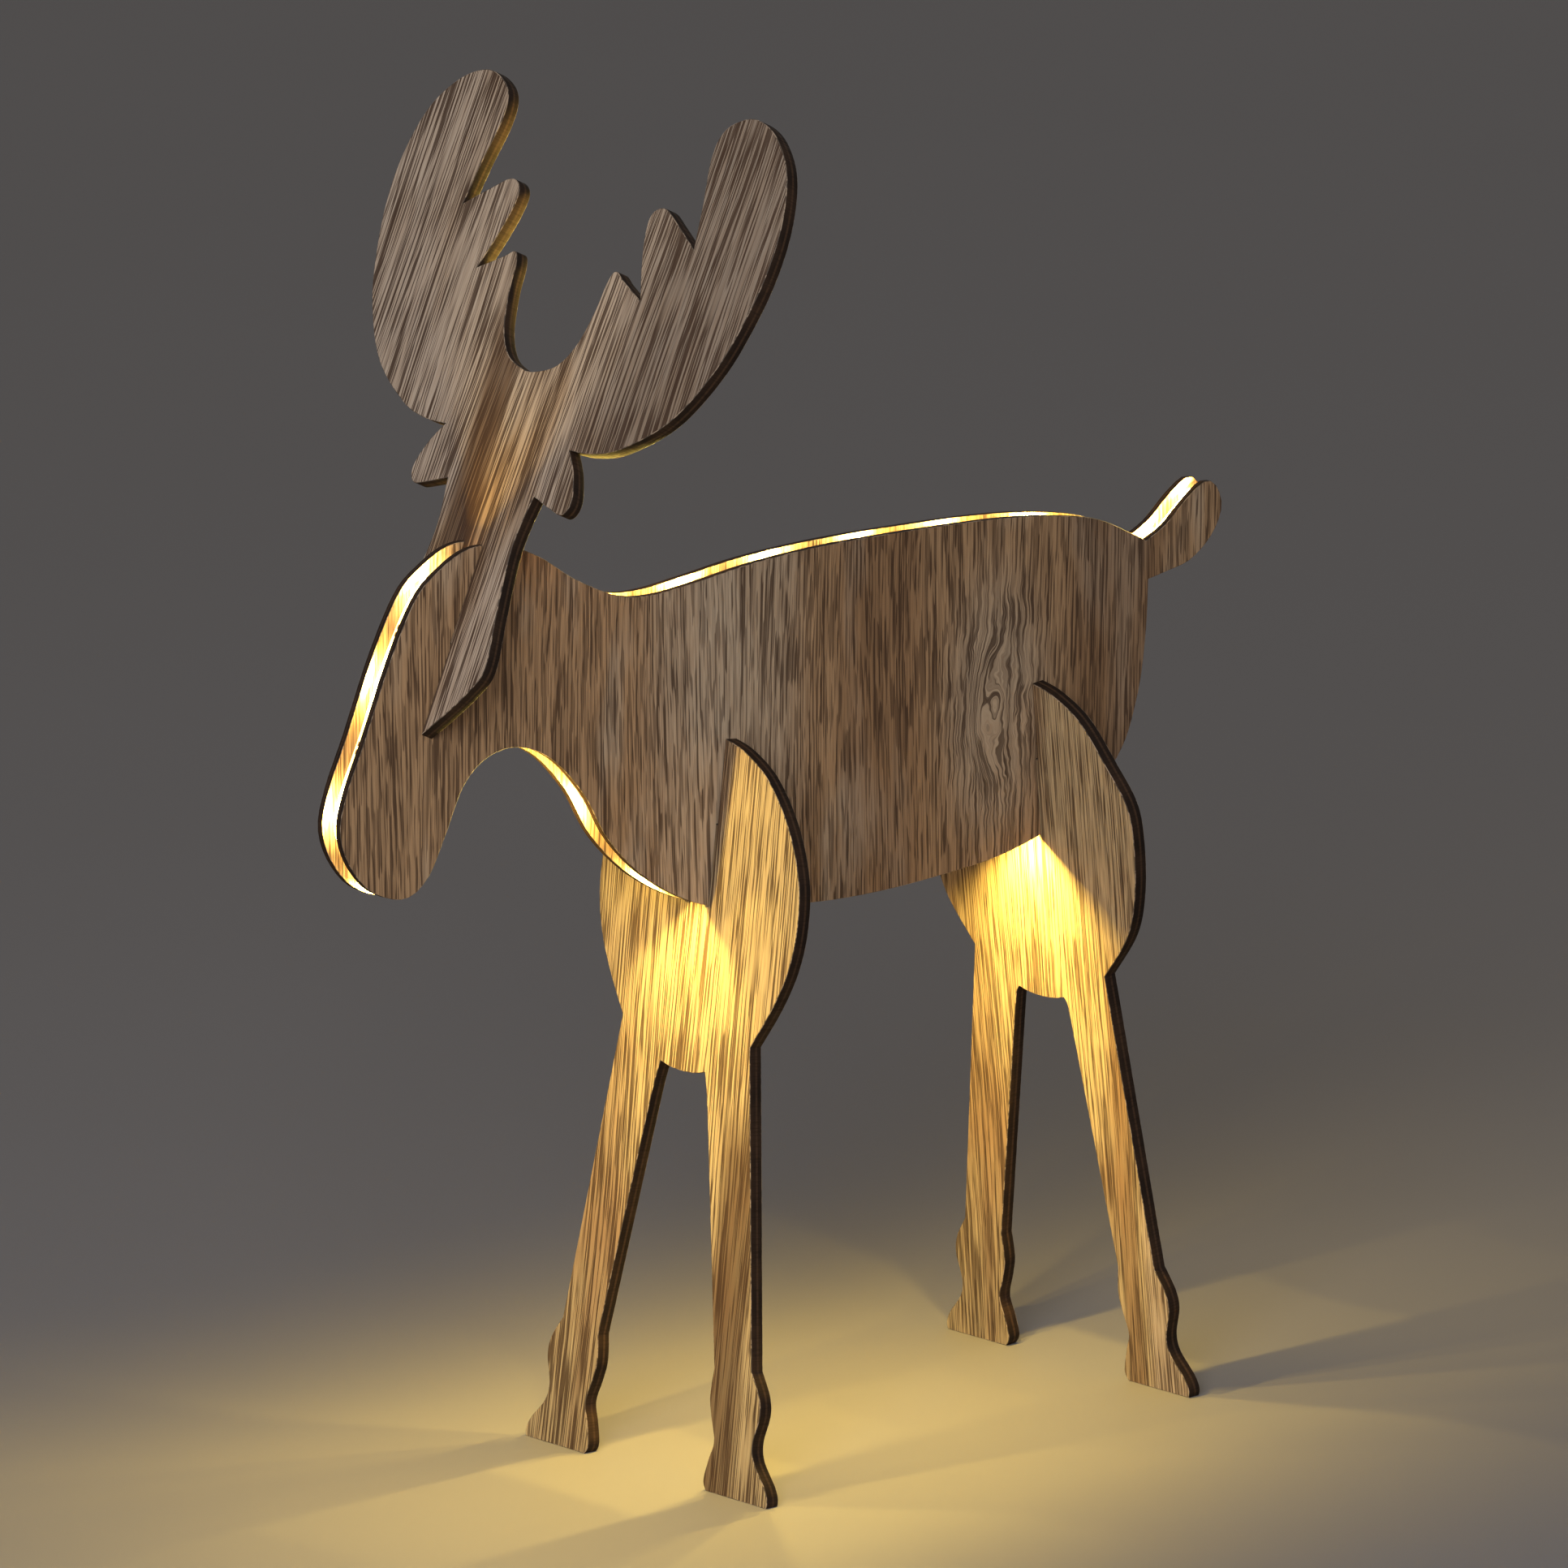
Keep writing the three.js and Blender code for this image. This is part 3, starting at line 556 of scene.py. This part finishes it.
def lit_strip(node, materials):
    """The strip's circuit with its painted glow, and its lamps, resistors and solder pads."""
    lamps = lamps_of(node)
    bm = welded(node)
    tree = BVHTree.FromBMesh(bm)
    bmesh.ops.triangulate(bm, faces=bm.faces)
    gap = bm.verts.layers.float.new("led_gap")
    # Distance to the nearest lamp, which sets the glow painted on the tape.
    for v in bm.verts:
        v[gap] = min((v.co - centre).length for centre, _ in lamps)
    finished(bm, f"{node}_lit", [materials["tape"]], MAIN_BODY, [node])

    parts = bmesh.new()
    for centre, normal in lamps:
        dome(parts, centre, basis(normal), DOME_HALF, DOME_RISE, 0)
    for (a, na), (b, nb) in zip(lamps, lamps[1:]):
        for share, kind in ((RESISTOR_SHARE, "resistor"), (PADS_SHARE, "pads")):
            middle = a.lerp(b, share)
            out = na.lerp(nb, share).normalized()
            hit, facing, _, _ = tree.ray_cast(middle + out * 30 * MM, -out)
            if hit is None or facing.dot(out) < 0.5:
                continue
            axes = basis(facing)
            if kind == "resistor":
                chip(parts, hit, axes, RESISTOR, 1)
                continue
            for side in (-1, 1):
                for end in (-1, 1):
                    at = hit + axes @ Vector((side * PAD_ACROSS, end * PAD_ALONG, 0.0))
                    chip(parts, at, axes, SOLDER_PAD, 2)
    kinds = [materials["lamp"], materials["resistor"], materials["solder"]]
    finished(parts, f"{node}_lamps", kinds, MAIN_BODY)
    for i, (centre, normal) in enumerate(lamps):
        lamp_light(f"{node}_light_{i + 1}", centre + normal * LED_LIGHT_STANDOFF, normal)


def lamp_light(name, place, direction):
    data = bpy.data.lights.new(name, "AREA")
    data.shape = "SQUARE"
    data.size = LED_LIGHT_SIZE
    data.energy = LED_WATTS
    data.color = WARM_WHITE
    light = bpy.data.objects.new(name, data)
    light.location = place
    light.rotation_euler = direction.to_track_quat("-Z", "Y").to_euler()
    bpy.context.scene.collection.objects.link(light)


# ---- studio ----

def camera():
    data = bpy.data.cameras.new("camera")
    data.lens = CAMERA_LENS
    data.sensor_width = 36.0
    data.clip_end = 100.0
    made = bpy.data.objects.new("camera", data)
    made.location = CAMERA_PLACE
    made.rotation_euler = (CAMERA_AIM - CAMERA_PLACE).to_track_quat("-Z", "Y").to_euler()
    bpy.context.scene.collection.objects.link(made)
    bpy.context.scene.camera = made


def softbox(name, direction, distance, size, watts, colour=(1.0, 1.0, 1.0)):
    data = bpy.data.lights.new(name, "AREA")
    data.shape = "DISK"
    data.size = size
    data.energy = watts
    data.color = colour
    light = bpy.data.objects.new(name, data)
    light.location = STUDIO_AIM + direction.normalized() * distance
    light.rotation_euler = (-direction).to_track_quat("-Z", "Y").to_euler()
    bpy.context.scene.collection.objects.link(light)


def studio():
    world = bpy.data.worlds.new("studio")
    world.use_nodes = True
    world.node_tree.nodes["Background"].inputs[0].default_value = (0.25, 0.245, 0.24, 1.0)
    bpy.context.scene.world = world
    softbox("key", KEY_FROM, 1.9, 0.9, KEY_WATTS)
    softbox("fill", FILL_FROM, 2.8, 1.6, FILL_WATTS, (0.97, 0.98, 1.0))
    bm = bmesh.new()
    bmesh.ops.create_circle(bm, cap_ends=True, segments=96, radius=FLOOR_RADIUS)
    mesh = bpy.data.meshes.new("floor")
    bm.to_mesh(mesh)
    bm.free()
    floor = bpy.data.objects.new("floor", mesh)
    mesh.materials.append(floor_paint("floor_paint"))
    bpy.context.scene.collection.objects.link(floor)
    bpy.context.scene.view_settings.view_transform = "Standard"


# ---- the model ----

camera()
# The boards' rounded corners carry a painted highlight.
HIGHLIGHTED_ARRIS = arris_painted_highlight("arris_painted_highlight")

ANTLER_BANDS = [
    (0.022, -0.105, 9 * MM, WHOLE, DARK_BAND, 0.85),
    (0.003, -0.105, 6 * MM, WHOLE, PALE, 0.8),
    (0.092, 0.0, 48 * MM, WHOLE, UMBER, 0.8),
    (-0.095, 0.0, 42 * MM, WHOLE, PALE, 0.6),
]
FRONT_LEG_BANDS = [(0.042, 0.0, 13 * MM, 150 * MM, DARK_BAND, 0.75)]
REAR_LEG_BANDS = [
    (0.045, 0.0, 6 * MM, 170 * MM, BROWN, 0.6),
    (0.067, 0.0, 13 * MM, 110 * MM, PALE, 0.85),
]
leaning_board("antler_panel", (PALE, PALE, TAN), 0.95, ANTLER_BANDS)
leaning_board("front_leg_panel", (LEG_PALE, LEG_PALE, TAN), 0.9, FRONT_LEG_BANDS)
leaning_board("rear_leg_panel", (LEG_PALE, LEG_PALE, TAN), 0.75, REAR_LEG_BANDS)

rear_low, rear_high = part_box("rear_leg_panel")
BODY_BANDS = [
    (-0.040, 44 * MM, GREYED, 0.7),
    (0.052, 26 * MM, BROWN, 0.5),
    (0.190, 32 * MM, BROWN, 0.6),
]
KNOT = (rear_low.y - 22 * MM, rear_high.z - 8 * MM, 34 * MM)
BODY_TONES = (GREYED, WARM, WARM)
body_board("left_body_panel", 0.0)
body_board("right_body_panel", 1.7)
small_piece("body_core", core_board("core_fibreboard"), 0.0)

STRIP_MATERIALS = {
    "tape": tape_with_painted_glow("led_tape_painted_glow"),
    "lamp": lamp_face("led_phosphor"),
    "resistor": moulded("resistor_black", rgb(0.02, 0.02, 0.02), 0.4),
    "solder": metal("tinned_pad", rgb(0.80, 0.66, 0.48), 0.35),
}
for node in sorted(frame["nodes"]):
    if node.endswith("_led_strip"):
        lit_strip(node, STRIP_MATERIALS)

BLACK = moulded("black_plastic", rgb(0.030, 0.030, 0.032), 0.5)
RUBBER = moulded("seal_rubber", rgb(0.04, 0.04, 0.042), 0.8, 0.3 * MM)
STEEL = metal("nickelled_steel", rgb(0.62, 0.61, 0.58), 0.3)
GREEN = moulded("circuit_green", rgb(0.015, 0.11, 0.05), 0.35)
WIRE = moulded("wire_sheath", rgb(0.020, 0.018, 0.016), 0.45)
SLEEVE = moulded("cell_sleeve", rgb(0.035, 0.10, 0.16), 0.3, 0.8 * MM, 0.01 * MM)

FINISHES = [
    ("battery_box", BLACK, "black_plastic", SMALL_ARRIS),
    ("battery_door", BLACK, "black_plastic", SMALL_ARRIS),
    ("switch_knob", BLACK, "black_plastic", 0.2 * MM),
    ("door_seal", RUBBER, "seal_rubber", 0.1 * MM),
    ("control_board", GREEN, "circuit_board", 0.1 * MM),
    ("switch_body", STEEL, "steel", 0.2 * MM),
    ("door_screw", STEEL, "steel", 0.08 * MM),
]
for i in (1, 2, 3, 4):
    FINISHES.append((f"box_screw_{i}", STEEL, "steel", 0.08 * MM))
    FINISHES.append((f"contact_plate_{i}", STEEL, "steel", 0.1 * MM))
for i in (1, 2, 3):
    FINISHES.append((f"contact_spring_{i}", STEEL, "steel", 0.0))
    FINISHES.append((f"battery_cell_{i}", SLEEVE, "cell_sleeve", 0.15 * MM))
for node in sorted(frame["nodes"]):
    if node.endswith("_wire"):
        FINISHES.append((node, WIRE, "wire", 0.3 * MM))
for node, material, slot, arris in FINISHES:
    small_piece(node, material, arris)

studio()
